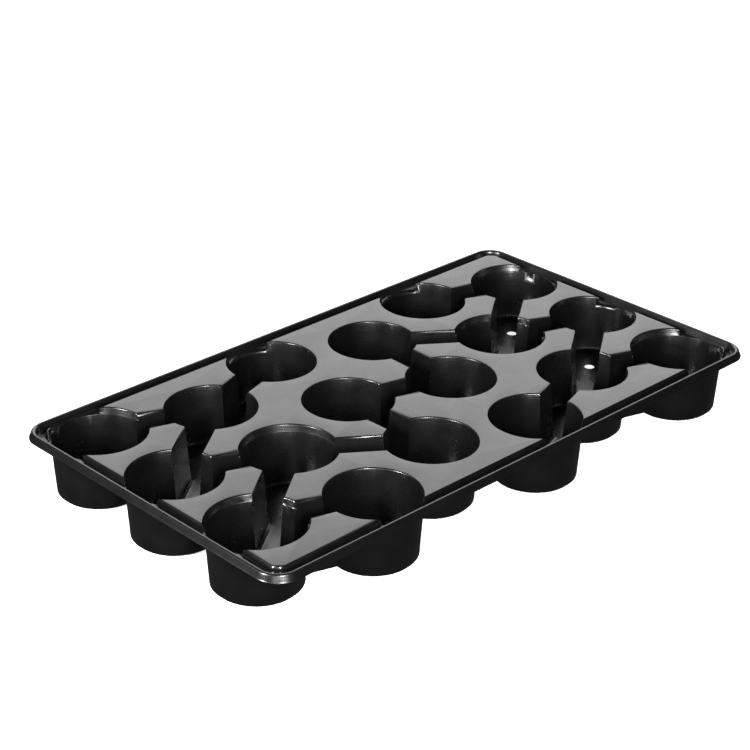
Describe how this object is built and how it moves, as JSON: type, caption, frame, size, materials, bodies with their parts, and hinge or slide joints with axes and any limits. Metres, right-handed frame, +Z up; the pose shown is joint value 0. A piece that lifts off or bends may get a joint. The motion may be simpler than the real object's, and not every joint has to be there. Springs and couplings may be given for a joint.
{
  "type": "pot tray",
  "caption": "Thin black thermoformed plastic carrying tray with staggered tapered round cups for plant pots, joined by open slots, and a raised rim with a skirt.",
  "frame": {"origin": "middle of the plane that the cup bottoms stand on", "axes": "+Z up out of the cups, +X along the long side, +Y to the back long side"},
  "size_m": [0.56, 0.3164, 0.055],
  "materials": {
    "sheet": "satin"
  },
  "bodies": {
    "root": {"tray": "sheet"}
  },
  "joints": []
}
